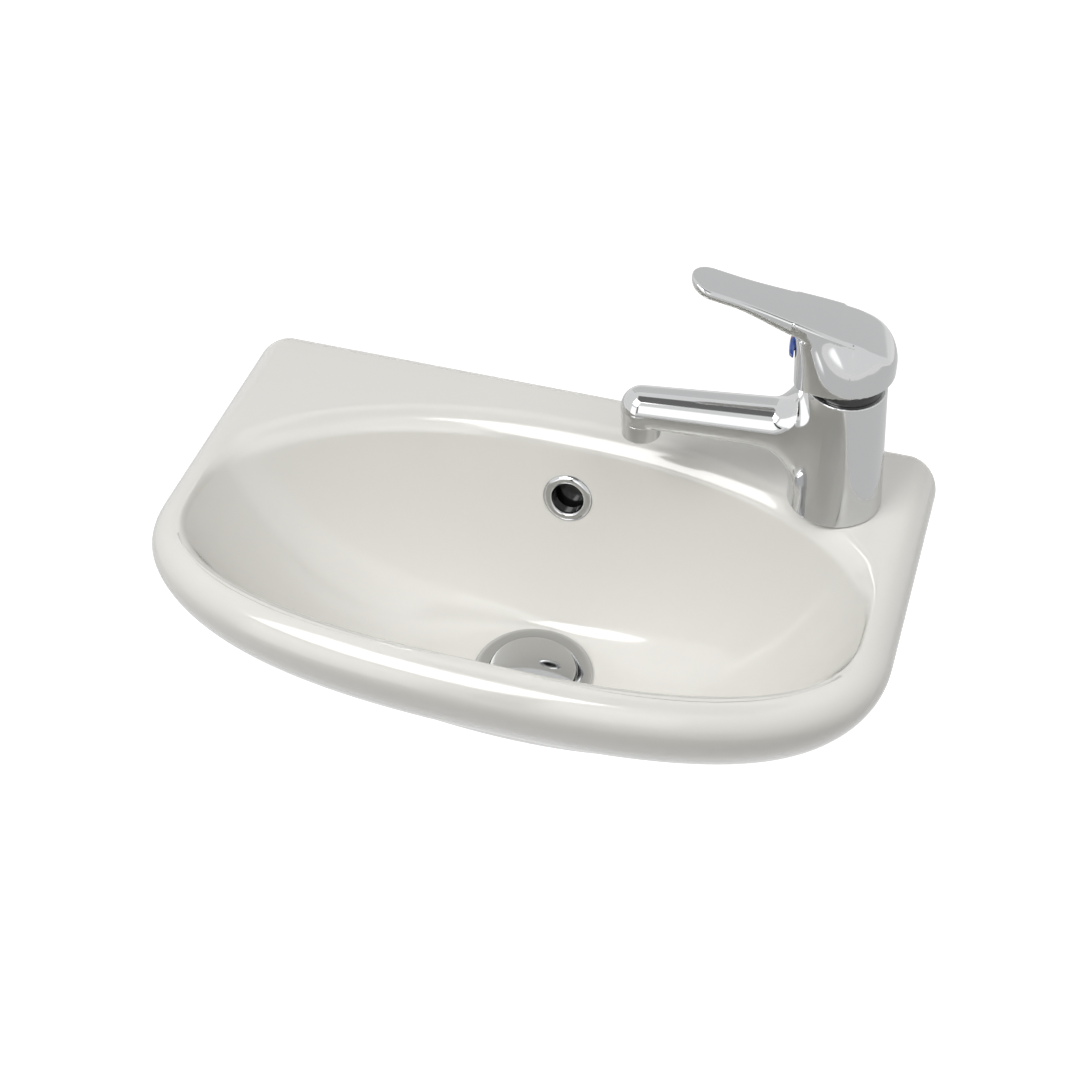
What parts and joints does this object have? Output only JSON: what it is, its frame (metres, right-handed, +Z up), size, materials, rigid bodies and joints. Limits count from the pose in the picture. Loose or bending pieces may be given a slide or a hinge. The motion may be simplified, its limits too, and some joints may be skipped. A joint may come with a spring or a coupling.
{
  "type": "wall-hung basin",
  "caption": "Small wall-hung hand basin with a bow front, a rear overflow, a click waste and a single-lever mixer tap at its right-hand corner.",
  "frame": {"origin": "midway between the two wall bolt holes, on the back plane that lies on the wall", "axes": "+Z up, +X along the wall to the right as seen from the room, +Y into the wall"},
  "size_m": [0.398, 0.234, 0.2896],
  "materials": {
    "ceramic": "glossy white glaze",
    "chrome": "polished chrome plate",
    "brass": "machined",
    "steel": "plain zinc or stainless",
    "rubber": "moulded, matt",
    "nylon": "moulded, satin",
    "alumina": "lapped",
    "button": "moulded, half blue and half red"
  },
  "bodies": {
    "root": {"basin_body": "ceramic", "overflow_ring": "chrome", "waste_body": "chrome", "waste_flange_seal": "rubber", "waste_taper_washer": "rubber", "waste_slip_washer": "nylon", "waste_backnut": "brass", "click_barrel": "nylon", "click_spring": "steel", "tap_body": "chrome", "tap_base_seal": "rubber", "tap_stud": "brass", "horseshoe_rubber": "rubber", "horseshoe_metal": "steel", "stud_nut": "brass", "cartridge_seals": "rubber", "cartridge_case": "nylon", "fixed_disc": "alumina", "cartridge_nut": "brass", "shroud_ring": "chrome", "aerator_shell": "chrome", "aerator_insert": "nylon", "aerator_washer": "rubber"},
    "plug": {"plug_cap": "chrome", "plug_gasket": "rubber", "plug_rod": "steel"},
    "rotor": {"cartridge_rotor": "nylon", "stem_pin": "steel"},
    "handle": {"lever": "chrome", "cartridge_stem": "steel", "lever_screw": "steel", "temperature_button": "button"},
    "disc": {"moving_disc": "alumina"}
  },
  "joints": [
    {"name": "lever_turn", "type": "hinge", "parent": "root", "child": "rotor", "pos_m": [0.148, -0.0485, 0.133], "axis": [0, 0, 1], "range_deg": [-50, 50]},
    {"name": "lever_lift", "type": "hinge", "parent": "rotor", "child": "handle", "pos_m": [0.148, -0.0485, 0.133], "axis": [-0.1392, 0.9903, 0], "range_deg": [0, 20]},
    {"name": "disc_slide", "type": "slide", "parent": "rotor", "child": "disc", "axis": [-0.9903, -0.1392, 0], "range_m": [0, 0.003]},
    {"name": "plug_pop", "type": "slide", "parent": "root", "child": "plug", "axis": [0, 0, 1], "range_m": [0, 0.009], "deforming": ["click_spring"]}
  ],
  "couplings": [
    {"joint": "disc_slide", "follows": "lever_lift", "m_per_rad": 0.0085}
  ]
}
